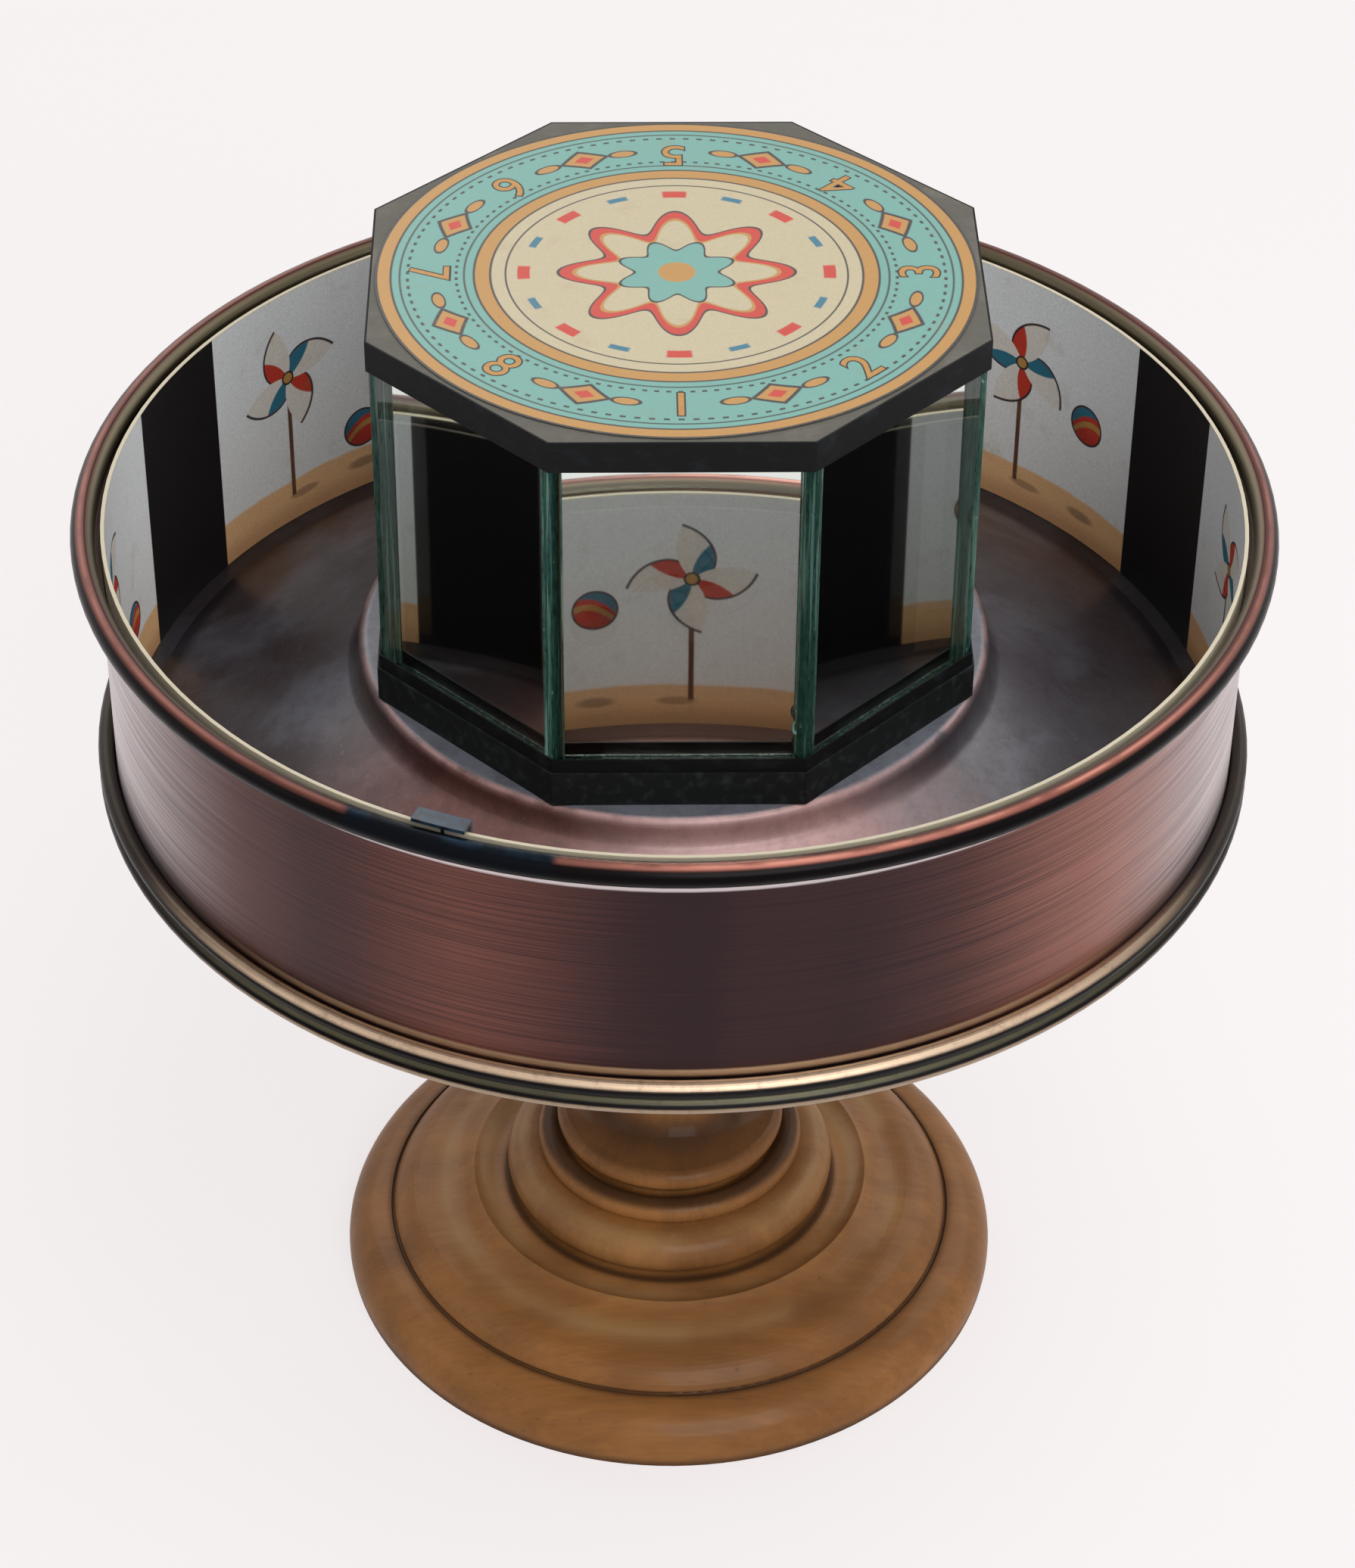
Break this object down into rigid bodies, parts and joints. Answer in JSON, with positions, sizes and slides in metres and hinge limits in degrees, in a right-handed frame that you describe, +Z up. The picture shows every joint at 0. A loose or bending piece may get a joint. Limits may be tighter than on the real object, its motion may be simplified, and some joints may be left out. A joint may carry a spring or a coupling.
{
  "type": "praxinoscope",
  "caption": "Hand-spun tin drum on a turned wooden stand, with an upright mirror prism in its middle and a picture strip round its wall.",
  "frame": {"origin": "centre of the underside of the foot, on the spindle's axis", "axes": "+Z up along the spindle; -Y towards the side with mirror_1; +X to the right of it"},
  "size_m": [0.16, 0.16, 0.1699],
  "materials": {
    "varnished_wood": "old varnish, glossy on the beads",
    "bare_wood": "planed",
    "black_painted_wood": "matt black paint",
    "copper_lacquered_tin": "clear copper-brown lacquer over tin",
    "dark_lacquered_tin": "worn dark lacquer with a bluish bloom",
    "black_lacquered_tin": "blue-black lacquer",
    "steel": "turned steel",
    "brass": "turned brass",
    "mirror_glass": "back-silvered plate glass with bare edges",
    "printed_card": "printed card",
    "printed_paper": "printed paper with gold ink",
    "grey_card": "aged grey-brown card",
    "black_paper": "black paper tape"
  },
  "bodies": {
    "stand": {"foot": "varnished_wood", "column": "varnished_wood", "column_screw": "steel", "spindle": "steel", "thrust_washer": "brass"},
    "drum": {"drum_wall": "copper_lacquered_tin", "rim_wire": "steel", "floor_pan": "dark_lacquered_tin", "hub_plate": "steel", "hub_tube": "brass", "bearing_cup": "steel", "hub_rivets": "steel", "picture_strip": "printed_card", "strip_bar": "black_lacquered_tin", "plinth": "black_painted_wood", "prism_core": "bare_wood", "mirror_1": "mirror_glass", "mirror_2": "mirror_glass", "mirror_3": "mirror_glass", "mirror_4": "mirror_glass", "mirror_5": "mirror_glass", "mirror_6": "mirror_glass", "mirror_7": "mirror_glass", "mirror_8": "mirror_glass", "base_binding": "black_paper", "lid_card": "grey_card", "lid_binding": "black_paper", "lid_label": "printed_paper", "prism_screws": "steel"}
  },
  "joints": [
    {"name": "drum_spin", "type": "hinge", "parent": "stand", "child": "drum", "pos_m": [0, 0, 0.1], "axis": [0, 0, 1], "continuous": true}
  ]
}
